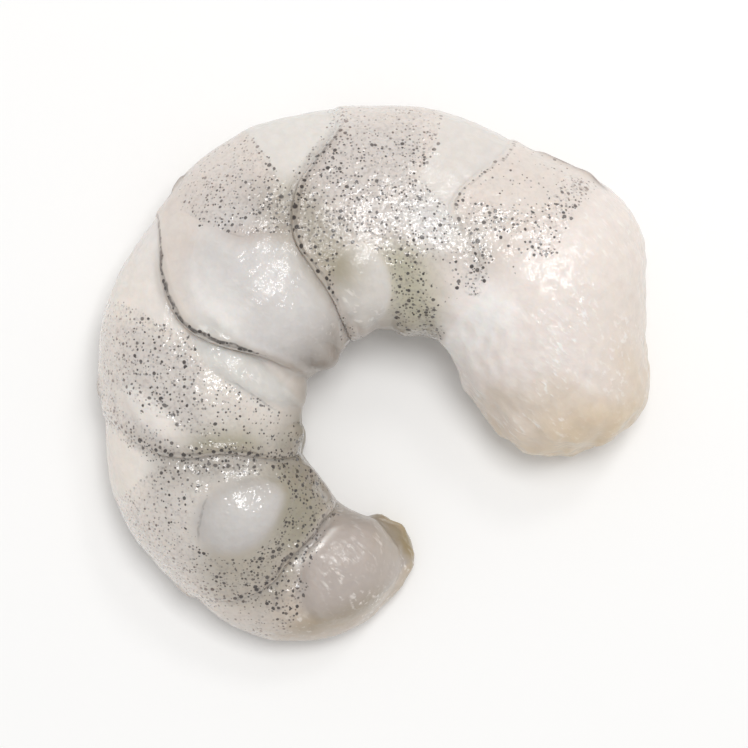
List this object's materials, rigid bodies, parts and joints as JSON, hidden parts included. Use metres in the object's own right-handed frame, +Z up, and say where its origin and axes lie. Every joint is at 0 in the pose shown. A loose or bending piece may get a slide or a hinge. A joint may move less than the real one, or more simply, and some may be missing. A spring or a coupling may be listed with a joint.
{
  "type": "peeled white shrimp",
  "caption": "Raw white shrimp, peeled, with its head and tail fan removed, curled into an open ring and lying on one flank.",
  "frame": {"origin": "on the surface that the shrimp lies on, under the middle of its box", "axes": "+Z up, through the flank that shows; +X from the curled body towards the open side of the ring, where the neck is; +Y towards the front segments at the top of the ring"},
  "size_m": [0.047, 0.0458, 0.0146],
  "materials": {
    "flesh": "wet, translucent raw flesh with fine dark speckles on each segment"
  },
  "bodies": {
    "root": {"shrimp_meat": "flesh"}
  },
  "joints": []
}
